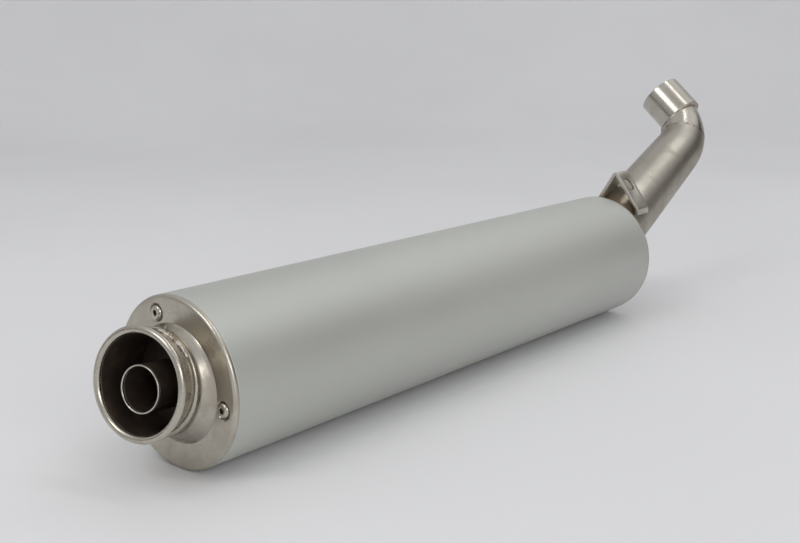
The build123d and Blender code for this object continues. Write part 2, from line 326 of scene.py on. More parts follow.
class Paintbox:
    """Builds one material's node tree with short calls.

    GRAIN_ROUND is how fast turned grain changes round its axis, beside 1 across it.
    """

    GRAIN_ROUND = 0.004

    def __init__(self, name: str) -> None:
        """Starts a material with a plain principled shader.

        Args:
            name: name of the material.
        """
        self.material = bpy.data.materials.new(name)
        self.material.use_nodes = True
        self.tree = self.material.node_tree
        self.shader = self.tree.nodes["Principled BSDF"]
        self.place = self.node("ShaderNodeTexCoord").outputs["Object"]

    def node(self, kind: str, **settings: object) -> bpy.types.Node:
        """Adds a node and sets its properties.

        Args:
            kind: type name of the node.
            **settings: properties to set.

        Returns:
            The node.
        """
        made = self.tree.nodes.new(kind)
        for key, value in settings.items():
            setattr(made, key, value)
        return made

    def feed(self, value: Socket | float | Sequence[float], target: Socket) -> None:
        """Links a socket to a target, or sets the target's own value."""
        if isinstance(value, bpy.types.NodeSocket):
            self.tree.links.new(value, target)
        else:
            target.default_value = value

    def math(self, operation: str, a: Socket | float, b: Socket | float = 0.0) -> Socket:
        """Result of an arithmetic operation on one or two values."""
        made = self.node("ShaderNodeMath", operation=operation)
        self.feed(a, made.inputs[0])
        self.feed(b, made.inputs[1])
        return made.outputs[0]

    def stretched(self, scale: Sequence[float]) -> Socket:
        """Object place, with a factor along each of its three directions."""
        made = self.node("ShaderNodeMapping", vector_type="POINT")
        self.feed(self.place, made.inputs["Vector"])
        made.inputs["Scale"].default_value = scale
        return made.outputs[0]

    def noise(
        self, scale: float, detail: float = 4.0, rough: float = 0.55, warp: float = 0.0,
        place: Socket | None = None,
    ) -> Socket:
        """Grey noise.

        Args:
            scale: bumps to the metre.
            detail: octaves.
            rough: weight of the fine octaves.
            warp: distortion.
            place: vector to read it at, or None for the object place.

        Returns:
            The noise, from 0 to 1.
        """
        made = self.node("ShaderNodeTexNoise")
        self.feed(place or self.place, made.inputs["Vector"])
        made.inputs["Scale"].default_value = scale
        made.inputs["Detail"].default_value = detail
        made.inputs["Roughness"].default_value = rough
        made.inputs["Distortion"].default_value = warp
        return made.outputs["Fac"]

    def spread(
        self, value: Socket, low: float, high: float, to_low: float = 0.0, to_high: float = 1.0
    ) -> Socket:
        """Spreads a range of a value over another range, clamped.

        Args:
            value: what to spread.
            low: start of its range.
            high: end of its range.
            to_low: result at the start.
            to_high: result at the end.

        Returns:
            The spread value.
        """
        made = self.node("ShaderNodeMapRange", interpolation_type="SMOOTHSTEP")
        for key, number in (("From Min", low), ("From Max", high), ("To Min", to_low), ("To Max", to_high)):
            made.inputs[key].default_value = number
        self.feed(value, made.inputs["Value"])
        return made.outputs["Result"]

    def mixed(self, share: Socket | float, a: Socket | Colour, b: Socket | Colour) -> Socket:
        """Mixes two colours.

        Args:
            share: share of the second.
            a: first colour.
            b: second colour.

        Returns:
            The mixed colour.
        """
        made = self.node("ShaderNodeMix", data_type="RGBA", blend_type="MIX")
        factor, first, second = (made.inputs[k] for k in (0, 6, 7))
        self.feed(share, factor)
        self.feed(solid(a), first)
        self.feed(solid(b), second)
        return made.outputs[2]

    def bump(self, height: Socket, strength: float, depth_mm: float, under: Socket | None = None) -> Socket:
        """Bumped normal.

        Args:
            height: bump height, from 0 to 1.
            strength: how strongly it acts.
            depth_mm: depth of a full bump.
            under: coarser bump beneath this one.

        Returns:
            The normal.
        """
        made = self.node("ShaderNodeBump")
        made.inputs["Strength"].default_value = strength
        made.inputs["Distance"].default_value = depth_mm * MM
        self.feed(height, made.inputs["Height"])
        if under is not None:
            self.feed(under, made.inputs["Normal"])
        return made.outputs["Normal"]

    def from_axis(self, jig: Jig) -> tuple[Socket, Socket, Socket]:
        """Place relative to an axis.

        Args:
            jig: frame whose axis is used.

        Returns:
            Radius, distance along the axis, and a vector that runs round the axis slowly and
            across it fast, for turned grain.
        """
        rel = self.node("ShaderNodeVectorMath", operation="SUBTRACT")
        self.feed(self.place, rel.inputs[0])
        rel.inputs[1].default_value = jig.origin * MM
        parts = []
        for direction in (jig.x, jig.y, jig.z):
            dot = self.node("ShaderNodeVectorMath", operation="DOT_PRODUCT")
            self.feed(rel.outputs[0], dot.inputs[0])
            dot.inputs[1].default_value = direction
            parts.append(dot.outputs["Value"])
        squares = [self.math("MULTIPLY", part, part) for part in parts[:2]]
        across = self.math("SQRT", self.math("ADD", *squares))
        grain = self.node("ShaderNodeCombineXYZ")
        for k in (0, 1):
            slow = self.math("MULTIPLY", parts[k], self.GRAIN_ROUND)
            self.feed(self.math("DIVIDE", slow, across), grain.inputs[k])
        self.feed(self.math("ADD", across, parts[2]), grain.inputs[2])
        return across, parts[2], grain.outputs[0]

    def nearest_axis(self, jigs: Sequence[Jig]) -> Socket:
        """Distance in metres to the nearest of some axes.

        Args:
            jigs: jigs of the axes.

        Returns:
            The distance.
        """
        near = self.from_axis(jigs[0])[0]
        for jig in jigs[1:]:
            near = self.math("MINIMUM", near, self.from_axis(jig)[0])
        return near

    def dress(
        self, colour: Socket | Colour, rough: Socket | float, normal: Socket | None, metal: float = 1.0
    ) -> bpy.types.Material:
        """Feeds the shader and hands back the material.

        Args:
            colour: base colour.
            rough: roughness.
            normal: bumped normal, if any.
            metal: metallic share.

        Returns:
            The finished material.
        """
        self.feed(solid(colour), self.shader.inputs["Base Color"])
        self.feed(rough, self.shader.inputs["Roughness"])
        self.shader.inputs["Metallic"].default_value = metal
        if normal is not None:
            self.feed(normal, self.shader.inputs["Normal"])
        return self.material


@dataclass(frozen=True)
class BlastedAluminium:
    """Bead-blasted, clear-anodised aluminium: an even fine pitting with faint handling marks."""

    light: Colour = (0.545, 0.555, 0.520)
    dark: Colour = (0.500, 0.510, 0.477)
    rough: tuple[float, float] = (0.50, 0.58)
    metal: float = 0.60

    def material(self) -> bpy.types.Material:
        """Builds the material."""
        box = Paintbox("blasted aluminium")
        pits = box.noise(2300.0, detail=3.0, rough=0.7)
        clouds = box.noise(9.0, detail=3.0, place=box.stretched((1.0, 0.35, 1.0)))
        rub = box.noise(60.0, detail=5.0, rough=0.7, warp=0.6)
        tone = box.mixed(box.spread(clouds, 0.35, 0.68), self.dark, self.light)
        tone = box.mixed(box.spread(pits, 0.30, 0.72, 0.0, 0.22), tone, self.dark)
        dull = box.spread(clouds, 0.3, 0.7, *self.rough)
        rough = box.math("ADD", dull, box.spread(rub, 0.62, 0.8, 0.0, -0.05))
        return box.dress(tone, rough, box.bump(pits, 0.35, 0.05), metal=self.metal)


@dataclass(frozen=True)
class SatinSteel:
    """Brushed or turned stainless steel with warm staining.

    Args:
        name: name of the material.
        light: colour of clean metal.
        stain: colour of the brown staining.
        rough: lowest and highest roughness.
        jig: axis that turned grain runs round, or None for grain along stretch.
        stretch: grain factors along X, Y and Z when there is no jig.
        grain: strength of the grain.
        mottle: strength of hand-polished waves.
        staining: share of the stain at its strongest.
    """

    name: str
    light: Colour = (0.530, 0.500, 0.435)
    stain: Colour = (0.290, 0.245, 0.190)
    rough: tuple[float, float] = (0.20, 0.34)
    jig: Jig | None = None
    stretch: tuple[float, float, float] = (1.0, 1.0, 1.0)
    grain: float = 0.25
    mottle: float = 0.0
    staining: float = 0.45

    def parts(self) -> tuple[Paintbox, Socket, Socket, Socket]:
        """Builds the shared nodes.

        Returns:
            The paintbox, the colour, the roughness and the normal.
        """
        box = Paintbox(self.name)
        way = box.from_axis(self.jig)[2] if self.jig else box.stretched(self.stretch)
        grain = box.noise(2600.0, detail=4.0, rough=0.65, place=way)
        coarse = box.noise(420.0, detail=2.0, place=way)
        haze = box.noise(38.0, detail=4.0, rough=0.6, warp=0.8)
        specks = box.noise(520.0, detail=5.0, rough=0.75, warp=0.3)
        tone = box.mixed(box.spread(haze, 0.40, 0.72, 0.0, self.staining), self.light, self.stain)
        tone = box.mixed(box.spread(specks, 0.64, 0.80, 0.0, 0.45 * self.staining), tone, self.stain)
        tone = box.mixed(box.spread(grain, 0.3, 0.7, 0.0, 0.16), tone, self.stain)
        dull = box.spread(haze, 0.3, 0.7, *self.rough)
        rough = box.math("ADD", dull, box.spread(grain, 0.35, 0.65, -0.03, 0.05))
        waves = box.bump(box.noise(95.0, detail=2.0, rough=0.4), self.mottle, 0.5) if self.mottle else None
        normal = box.bump(coarse, 0.5 * self.grain, 0.03, under=waves)
        normal = box.bump(grain, self.grain, 0.012, under=normal)
        return box, tone, rough, normal

    def material(self) -> bpy.types.Material:
        """Builds the material."""
        box, tone, rough, normal = self.parts()
        return box.dress(tone, rough, normal)


@dataclass(frozen=True)
class SootedSteel:
    """Satin steel whose inside is blackened by exhaust soot.

    Args:
        steel: steel under the soot.
        clean_above: radius in millimetres from the jig's axis above which the metal is clean.
        clean_before: distance in millimetres along the axis before which the metal is clean.
        soot: colour of the soot.
        patch: colour of its paler patches.
        ragged_mm: how far the soot's edge wanders.
        edge_mm: width of the soot's faded edge.
        rim_mm: half the width of its edge at the clean radius.
        dull: roughness that soot adds.
        metal: metallic share where the soot is full.
    """

    steel: SatinSteel
    clean_above: float
    clean_before: float
    soot: Colour = (0.034, 0.024, 0.018)
    patch: Colour = (0.095, 0.066, 0.046)
    ragged_mm: float = 0.6
    edge_mm: float = 1.6
    rim_mm: float = 0.12
    dull: float = 0.22
    metal: float = 0.25

    def material(self) -> bpy.types.Material:
        """Builds the material."""
        box, tone, rough, normal = self.steel.parts()
        radius, depth, _ = box.from_axis(self.steel.jig)
        inner, outer = self.clean_above - self.rim_mm, self.clean_above + self.rim_mm
        inside = box.spread(radius, inner * MM, outer * MM, 1.0, 0.0)
        wander = self.ragged_mm * MM
        ragged = box.math("ADD", depth, box.spread(box.noise(70.0), 0.3, 0.7, -wander, wander))
        deep = box.spread(ragged, self.clean_before * MM, (self.clean_before + self.edge_mm) * MM)
        sooty = box.math("MULTIPLY", inside, deep)
        patches = box.spread(box.noise(55.0, warp=0.5), 0.45, 0.75, 0.0, 0.55)
        brown = box.mixed(patches, self.soot, self.patch)
        tone = box.mixed(sooty, tone, brown)
        rough = box.math("ADD", rough, box.math("MULTIPLY", sooty, self.dull))
        made = box.dress(tone, rough, normal)
        box.feed(box.spread(sooty, 0.0, 1.0, 1.0, self.metal), box.shader.inputs["Metallic"])
        return made


@dataclass(frozen=True)
class TintAndShadeSteel:
    """Satin steel with a straw heat tint near a weld and a brown patch that is partly heat tint and partly
    painted shade.

    Args:
        steel: steel under the tint.
        centre: middle of the tinted and shaded place, in millimetres.
        reach: distance in millimetres over which the tint fades.
        straw: colour of the outer tint.
        brown: colour of the inner tint.
        ragged_mm: how far the tint's edges wander.
    """

    steel: SatinSteel
    centre: tuple[float, float, float]
    reach: float = 19.0
    straw: Colour = (0.56, 0.43, 0.27)
    # brown: colour of the inner patch, partly heat tint and partly painted shade.
    brown: Colour = (0.24, 0.135, 0.085)
    ragged_mm: float = 3.0

    def material(self) -> bpy.types.Material:
        """Builds the material."""
        box, tone, rough, normal = self.steel.parts()
        away = box.node("ShaderNodeVectorMath", operation="DISTANCE")
        box.feed(box.place, away.inputs[0])
        away.inputs[1].default_value = Vector(self.centre) * MM
        wander = self.ragged_mm * MM
        shift = box.spread(box.noise(60.0), 0.3, 0.7, -wander, wander)
        ragged = box.math("ADD", away.outputs["Value"], shift)
        reach = self.reach * MM
        near = box.spread(ragged, 0.35 * reach, reach, 0.60, 0.0)
        far = box.spread(ragged, 0.7 * reach, 1.5 * reach, 0.40, 0.0)
        tone = box.mixed(far, tone, self.straw)
        # Brown inner patch: partly heat tint, partly painted shade.
        tone = box.mixed(near, tone, self.brown)
        return box.dress(tone, rough, normal)


@dataclass(frozen=True)
class WeldSteel:
    """Fused filler metal: bright crowns, dark toes and a little straw tint."""

    name: str = "weld bead"
    light: Colour = (0.62, 0.585, 0.53)
    dark: Colour = (0.20, 0.155, 0.115)
    straw: Colour = (0.42, 0.31, 0.18)

    def material(self) -> bpy.types.Material:
        """Builds the material."""
        box = Paintbox(self.name)
        lumps = box.noise(420.0, detail=3.0)
        fine = box.noise(2400.0, detail=3.0, rough=0.7)
        tone = box.mixed(box.spread(lumps, 0.35, 0.70), self.dark, self.light)
        tone = box.mixed(box.spread(box.noise(130.0), 0.5, 0.75, 0.0, 0.5), tone, self.straw)
        normal = box.bump(fine, 0.35, 0.03, under=box.bump(lumps, 0.4, 0.12))
        return box.dress(tone, box.spread(lumps, 0.3, 0.7, 0.24, 0.42), normal)


@dataclass(frozen=True)
class GlassWool:
    """Pale yellow-grey fibre packing."""

    shade: Colour = (0.46, 0.41, 0.27)
    fibre: Colour = (0.76, 0.72, 0.58)

    def material(self) -> bpy.types.Material:
        """Builds the material."""
        box = Paintbox("glass wool")
        fibres = box.noise(900.0, detail=6.0, rough=0.7, warp=2.5, place=box.stretched((1.0, 0.25, 1.0)))
        tone = box.mixed(box.spread(fibres, 0.3, 0.7), self.shade, self.fibre)
        return box.dress(tone, 0.95, box.bump(fibres, 0.8, 0.8), metal=0.0)


LIGHT_WELD: Colour = (0.60, 0.565, 0.51)
PLAIN_WELD: Colour = (0.45, 0.40, 0.34)


def wear(piece: bpy.types.Object, material: bpy.types.Material) -> None:
    """Puts one material on every face of a piece or a carried node."""
    if not piece.data.materials:
        piece.data.materials.append(material)
    for i in range(len(piece.material_slots)):
        piece.material_slots[i].link = "OBJECT"
        piece.material_slots[i].material = material


def fit(piece: bpy.types.Object, slot: Slot, *nodes: str) -> bpy.types.Object:
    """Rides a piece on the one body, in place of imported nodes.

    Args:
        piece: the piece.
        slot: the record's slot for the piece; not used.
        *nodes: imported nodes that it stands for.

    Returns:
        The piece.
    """
    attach(piece, "root")
    if nodes:
        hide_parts(*nodes)
    LOG.info("%s: %d faces, stands for %s", piece.name, len(piece.data.polygons), ", ".join(nodes))
    return piece


# ---------------------------------------------------------------- sub-assemblies

ALONG_Y = (1.0, 0.2, 1.0)
REAR_END = Jig.along((0, 0, 0), (0, 1, 0), (1, 0, 0))
FRONT_END = Jig.along((0, 480, 0), (0, -1, 0), (1, 0, 0))


@dataclass
class Sleeve:
    """Outer sleeve of the canister, with eased ends."""

    radius: float = 52.0
    wall: float = 1.5
    length: float = 480.0
    ease: float = 0.35
    count: int = 256

    def build(self) -> bpy.types.Object:
        """Turns the sleeve."""
        outer, inner = self.radius, self.radius - self.wall
        profile = rounded(
            [(inner, 0, self.ease), (outer, 0, self.ease), (outer, self.length, self.ease),
             (inner, self.length, self.ease)]
        )
        return ringed_piece("sleeve_skin", lathe_rings(REAR_END, profile, self.count))

    def dress(self, piece: bpy.types.Object) -> None:
        """Finishes the sleeve."""
        wear(piece, BlastedAluminium().material())
        fit(piece, Slot.SLEEVE, "sleeve")


@dataclass
class CapScrews:
    """Button-head socket screws on one cap.

    Args:
        name: name of the piece.
        node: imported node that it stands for.
        end: jig of the canister's end, its axis pointing inwards.
        angles: places round the pitch circle in degrees, from +Z towards +X.
    """

    name: str
    node: str
    end: Jig
    angles: tuple[float, ...]
    pitch: float = 42.0
    cap_depth: float = 3.0
    dimple_radius: float = 5.2
    dimple_depth: float = 1.2
    head: float = 4.4
    height: float = 2.4
    crown: float = 1.7
    flat: float = 2.55
    socket: float = 3.2
    socket_depth: float = 1.6
    shank: float = 2.5
    length: float = 18.0
    # Painted shade: dark colour and its share, painted into each hex socket and round each head in its seat,
    # for the shade in those recesses.
    painted_shade: Colour = (0.045, 0.036, 0.028)
    painted_shade_share: float = 0.9

    def places(self) -> list[Jig]:
        """Jig of each screw, on the cap's face with its axis pointing inwards."""
        turned = [math.radians(a) for a in self.angles]
        face = self.end.origin - self.end.z * self.cap_depth
        spots = [Vector((self.pitch * math.sin(t), 0, self.pitch * math.cos(t))) for t in turned]
        return [Jig.along(face + spot, self.end.z, (1, 0, 0.3 + k)) for k, spot in enumerate(spots)]

    def dimple(self, point: Vector) -> float:
        """Depth of the pressed seats at a point of the cap's face.

        Args:
            point: a point on the face.

        Returns:
            Depth in millimetres.
        """
        depth = 0.0
        for jig in self.places():
            away = (point - jig.origin).length
            depth += self.dimple_depth * (1 - smooth((away - self.dimple_radius + 0.5) / 0.9))
        return depth

    def screw_rings(self, jig: Jig, count: int = 48) -> list[Ring]:
        """Rings of one screw, from its socket's floor over the head to the shank's tip.

        Args:
            jig: the screw's jig.
            count: points round each ring; a multiple of six.

        Returns:
            The rings.
        """
        seat = self.dimple_depth
        top = seat - self.height
        half = self.socket / 2

        def hexagon(grow: float, z: float) -> Ring:
            """Six-sided ring of the socket."""
            ring = []
            for t in turns(count):
                corner = (t + TURN / 12) % (TURN / 6) - TURN / 12
                sharp = 1 / math.cos(corner)
                ring.append(jig.around((half + grow) * min(sharp, 1.12), t, z))
            return ring

        floor = top + self.socket_depth
        rings = [[jig.around(0.05, t, floor + 0.35) for t in turns(count)]]
        rings += [hexagon(-0.25, floor), hexagon(0.0, floor - 0.1)]
        rings += [hexagon(0.0, top + 0.25), hexagon(0.10, top + 0.06), hexagon(0.28, top + 0.005)]
        for k in range(9):
            share = k / 8
            angle = share * math.pi / 2
            r = self.flat + (self.head - self.flat) * math.sin(angle)
            z = top + self.crown * (1 - math.cos(angle))
            rings.append([jig.around(r, t, z) for t in turns(count)])
        rings.append([jig.around(self.head, t, seat - 0.12) for t in turns(count)])
        rings.append([jig.around(self.head - 0.15, t, seat) for t in turns(count)])
        tip = seat + self.length
        for r, z in ((self.shank, seat), (self.shank, tip - 0.6), (self.shank - 0.5, tip)):
            rings.append([jig.around(r, t, z) for t in turns(count)])
        return rings

    def build(self) -> bpy.types.Object:
        """Builds every screw of the cap as one piece."""
        mesh = bmesh.new()
        for jig in self.places():
            skin(mesh, self.screw_rings(jig), capped=True)
        return finish_piece(self.name, mesh, 30.0)

    def dress(self, piece: bpy.types.Object) -> None:
        """Finishes the screws."""
        steel = SatinSteel("screw steel " + self.name, light=(0.58, 0.545, 0.48), rough=(0.16, 0.28),
                           grain=0.15, staining=0.5)
        box, tone, rough, normal = steel.parts()
        # Painted shade: darkens each hex socket, within 1.5 to 2 mm of the screw's axis.
        painted_shade_mask = box.spread(box.nearest_axis(self.places()), 1.5 * MM, 2.0 * MM, self.painted_shade_share, 0.0)
        wear(piece, box.dress(box.mixed(painted_shade_mask, tone, self.painted_shade), rough, normal))
        fit(piece, Slot.SCREW, self.node)


@dataclass
class EndCap:
    """Pressed cap: flat face with seats for its screws, rounded edge, seam and spigot.

    Args:
        name: name of the piece.
        node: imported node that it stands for.
        end: jig of the canister's end, its axis pointing inwards.
        hole: radius of the pipe's hole in each direction (sine, cosine) from +Z towards +X.
        screws: the cap's screws.
    """

    name: str
    node: str
    end: Jig
    hole: Callable[[float, float], float]
    screws: CapScrews
    radius: float = 52.0
    depth: float = 3.0
    edge: float = 2.2
    sheet: float = 2.0
    spigot: float = 50.4
    spigot_wall: float = 1.5
    spigot_length: float = 14.0
    seam: float = 0.25
    count: int = 384
    face_rings: int = 30

    def point(self, radius: float, turn: float, z: float) -> Vector:
        """Point at a radius, an angle from +Z towards +X and a distance inwards."""
        across = Vector((radius * math.sin(turn), 0, radius * math.cos(turn)))
        return self.end.origin + across + self.end.z * z

    def build(self) -> bpy.types.Object:
        """Presses the cap."""
        angles = turns(self.count)
        holes = [self.hole(math.sin(t), math.cos(t)) for t in angles]
        flat = self.radius - self.edge
        rings: list[Ring] = []
        for k in range(self.face_rings + 1):
            share = k / self.face_rings
            ring = [self.point(h + (flat - h) * share, t, -self.depth) for t, h in zip(angles, holes)]
            rings.append([p + self.end.z * self.screws.dimple(p) for p in ring])
        for k in range(1, 9):
            a = math.pi / 2 * k / 8
            r, z = flat + self.edge * math.sin(a), -self.depth + self.edge * (1 - math.cos(a))
            rings.append([self.point(r, t, z) for t in angles])
        inner = self.spigot - self.spigot_wall
        back = self.sheet - self.depth
        sides = [
            (self.radius, -self.seam - 0.15), (self.radius - 0.12, -self.seam), (self.spigot, -self.seam),
            (self.spigot, self.spigot_length), (inner, self.spigot_length), (inner, back),
        ]
        rings += [[self.point(r, t, z) for t in angles] for r, z in sides]
        rings.append([self.point(h, t, back) for t, h in zip(angles, holes)])
        return ringed_piece(self.name, rings)

    def dress(self, piece: bpy.types.Object) -> None:
        """Finishes the cap with turned grain and a ring of painted shade round each screw seat."""
        steel = SatinSteel("cap steel " + self.name, jig=self.end, rough=(0.25, 0.36), grain=0.16,
                           staining=0.35)
        box, tone, rough, normal = steel.parts()
        seat = self.screws.dimple_radius
        # Painted shade: a dark ring at the edge of each screw's seat, round its head.
        near = box.nearest_axis(self.screws.places())
        ragged = box.math("ADD", near, box.spread(box.noise(260.0), 0.3, 0.7, -0.0003, 0.0003))
        painted_shade_mask = box.spread(ragged, (seat - 0.5) * MM, (seat + 0.5) * MM, 0.75 * self.screws.painted_shade_share, 0.0)
        wear(piece, box.dress(box.mixed(painted_shade_mask, tone, self.screws.painted_shade), rough, normal))
        fit(piece, Slot.CAP, self.node)


@dataclass
class TailPiece:
    """Everything behind the rear cap: neck ring, outlet tube, inner pipe, its plate and a stitch weld."""

    lip_centre: tuple[float, float, float] = (4.1, -32.4, 7.4)
    lean_deg: float = 10.5
    rise_deg: float = 8.0
    tube: float = 29.5
    wall: float = 1.1
    lip: float = 33.2
    roll: float = 2.3
    roll_sweep_deg: float = 307.0
    stop_y: float = 11.9
    neck_depth: float = 13.0
    neck_base: tuple[float, float, float] = (1.2, -3.0, 0.3)
    neck_stops: tuple[tuple[float, float], ...] = (
        (0.0, 30.5), (0.04, 31.1), (0.09, 31.35), (0.16, 31.3), (0.22, 30.9), (0.36, 30.35), (0.50, 30.7),
        (0.80, 33.4), (0.95, 35.0), (1.0, 35.6),
    )
    insert: float = 13.9
    insert_wall: float = 1.0
    insert_drop: float = 2.8
    insert_from: float = 2.6
    insert_length: float = 40.0
    plate_from: float = 36.0
    plate_sheet: float = 1.5
    weld_start_deg: float = -85.0
    weld_sweep_deg: float = 50.0
    weld_bead: tuple[float, float, float] = (3.0, 1.25, 1.7)
    jig: Jig = field(init=False)
    inner_jig: Jig = field(init=False)

    def __post_init__(self) -> None:
        """Sets up the jigs of the outlet tube and of the inner pipe."""
        inwards = -Vector((math.tan(math.radians(self.lean_deg)), -1, math.tan(math.radians(self.rise_deg))))
        level = Vector((0, 0, 1)).cross(-inwards)
        self.jig = Jig.along(self.lip_centre, inwards, level)
        drop = Vector(self.lip_centre) - Vector((0, 0, self.insert_drop))
        self.inner_jig = Jig.along(drop, inwards, level)

    def hole(self, across: float, up: float) -> float:
        """Radius of the rear cap's hole in one direction, clear of the tilted tube."""
        near = self.jig.at(0, 0, (-3.0 - self.jig.origin.y) / self.jig.z.y)
        reach = near.x * across + near.z * up
        clear = self.tube + 0.4
        return reach + math.sqrt(reach * reach - near.x**2 - near.z**2 + clear * clear)

    def stopped_ring(self, radius: float, count: int) -> Ring:
        """Ring of the outlet tube where it is cut square to the canister."""
        ring = []
        for t in turns(count):
            start = self.jig.around(radius, t, 0)
            ring.append(start + self.jig.z * ((self.stop_y - start.y) / self.jig.z.y))
        return ring

    def build_tube(self) -> bpy.types.Object:
        """Turns the outlet tube with its rolled lip."""
        count = 192
        inner = self.tube - self.wall
        centre = self.lip - self.roll
        curl: Profile = []
        steps = 28
        for k in range(steps + 1):
            a = math.pi - k * math.radians(self.roll_sweep_deg) / steps
            curl.append((centre + self.roll * math.cos(a), self.roll - self.roll * math.sin(a)))
        behind = 2 * self.roll
        profile = [
            (inner, self.roll + 6.0), (inner, self.roll + 1.2), *curl, (self.tube + 0.02, behind - 0.1),
            (self.tube, behind + 0.5), (self.tube, behind + 1.4),
        ]
        turned = lathe_rings(self.jig, profile, count)
        rings = [self.stopped_ring(inner, count), *turned, self.stopped_ring(self.tube, count)]
        return ringed_piece("outlet_tube_rolled", rings)

    def build_neck(self) -> bpy.types.Object:
        """Spins the skewed neck ring: a short land, a hollow, then a flare onto the cap."""
        count, steps = 192, 44
        top = Jig.along(self.jig.at(0, 0, self.neck_depth), -self.jig.z, (1, 0, 0))
        base = Jig.along(self.neck_base, (0, -1, 0), (1, 0, 0))
        rings = [[top.around(self.tube + 0.06, t, 0) for t in turns(count)]]
        for k in range(steps + 1):
            share = k / steps
            r = blend_curve(self.neck_stops, share)
            centre = top.origin.lerp(base.origin, share)
            ring = []
            for t in turns(count):
                out = (top.around(1, t, 0) - top.origin).lerp(base.around(1, t, 0) - base.origin, share)
                hand = 0.05 * math.sin(9 * t + 5 * share) * math.sin(4 * t + 1) * math.sin(math.pi * share)
                ring.append(centre + out.normalized() * (r + hand))
            rings.append(ring)
        foot = []
        for t in turns(count):
            out = base.around(1, t, 0) - base.origin
            r = self.hole(out.x, out.z)
            foot.append(Vector((out.x * r, base.origin.y, out.z * r)))
        rings.append(foot)
        return ringed_piece("neck_ring_polished", rings)

    def build_insert(self) -> bpy.types.Object:
        """Turns the inner pipe."""
        r, inner = self.insert, self.insert - self.insert_wall
        start, end = self.insert_from, self.insert_from + self.insert_length
        profile = rounded([(inner, start, 0.45), (r, start, 0.45), (r, end, 0.3), (inner, end, 0.3)])
        return ringed_piece("inner_tail_pipe", lathe_rings(self.inner_jig, profile, 128))

    def build_plate(self) -> bpy.types.Object:
        """Presses the plate between the inner pipe and the outlet tube, a little dished."""
        edge, hole = self.tube - self.wall - 0.05, self.insert + 0.05
        rings = []
        for side, way in ((0.0, 1), (self.plate_sheet, -1)):
            for k in range(9)[::way]:
                share = k / 8
                dish = 0.5 * math.sin(math.pi * share)
                ring = []
                for t in turns(128):
                    inside = self.inner_jig.around(hole, t, self.plate_from + side)
                    outside = self.jig.around(edge, t, self.plate_from + side)
                    ring.append(inside.lerp(outside, share) - self.jig.z * dish)
                rings.append(ring)
        return ringed_piece("inner_pipe_plate", rings)

    def build_weld(self) -> bpy.types.Object:
        """Lays the stitch weld where the neck ring meets the tube."""
        steps = 150
        path, out = [], []
        for k in range(steps + 1):
            t = math.radians(self.weld_start_deg + self.weld_sweep_deg * k / steps)
            path.append(self.jig.around(self.tube + 0.35, t, self.neck_depth - 0.35))
            out.append((self.jig.around(1, t, 0) - self.jig.origin - self.jig.z).normalized())
        rings = bead_rings(path, out, *self.weld_bead, closed=False)
        return ringed_piece("outlet_stitch_weld", rings, looped=False)

    def make(self) -> None:
        """Builds, finishes and fits every piece of the tail."""
        turned = SatinSteel("outlet steel", jig=self.jig, rough=(0.20, 0.31), grain=0.22, staining=0.4)
        inner = SatinSteel("insert steel", jig=self.inner_jig, light=(0.66, 0.62, 0.56), rough=(0.18, 0.28),
                           grain=0.15)
        tube = self.build_tube()
        wear(tube, SootedSteel(turned, clean_above=self.tube - 0.6, clean_before=1.7).material())
        fit(tube, Slot.OUTLET, "outlet_tube")
        pipe = self.build_insert()
        wear(pipe, SootedSteel(inner, clean_above=40.0, clean_before=self.insert_from + 0.25).material())
        fit(pipe, Slot.INSERT, "insert_pipe")
        plate = self.build_plate()
        wear(plate, SootedSteel(inner, clean_above=60.0, clean_before=0.0).material())
        fit(plate, Slot.INSERT, "insert_plate")
        neck = self.build_neck()
        polished = SatinSteel("boss steel", jig=self.jig, light=(0.50, 0.475, 0.42), rough=(0.20, 0.32),
                              grain=0.12, mottle=0.35, staining=0.5)
        wear(neck, polished.material())
        fit(neck, Slot.BOSS, "outlet_boss")
        weld = self.build_weld()
        wear(weld, WeldSteel("outlet weld").material())
        fit(weld, Slot.WELD, "outlet_weld")


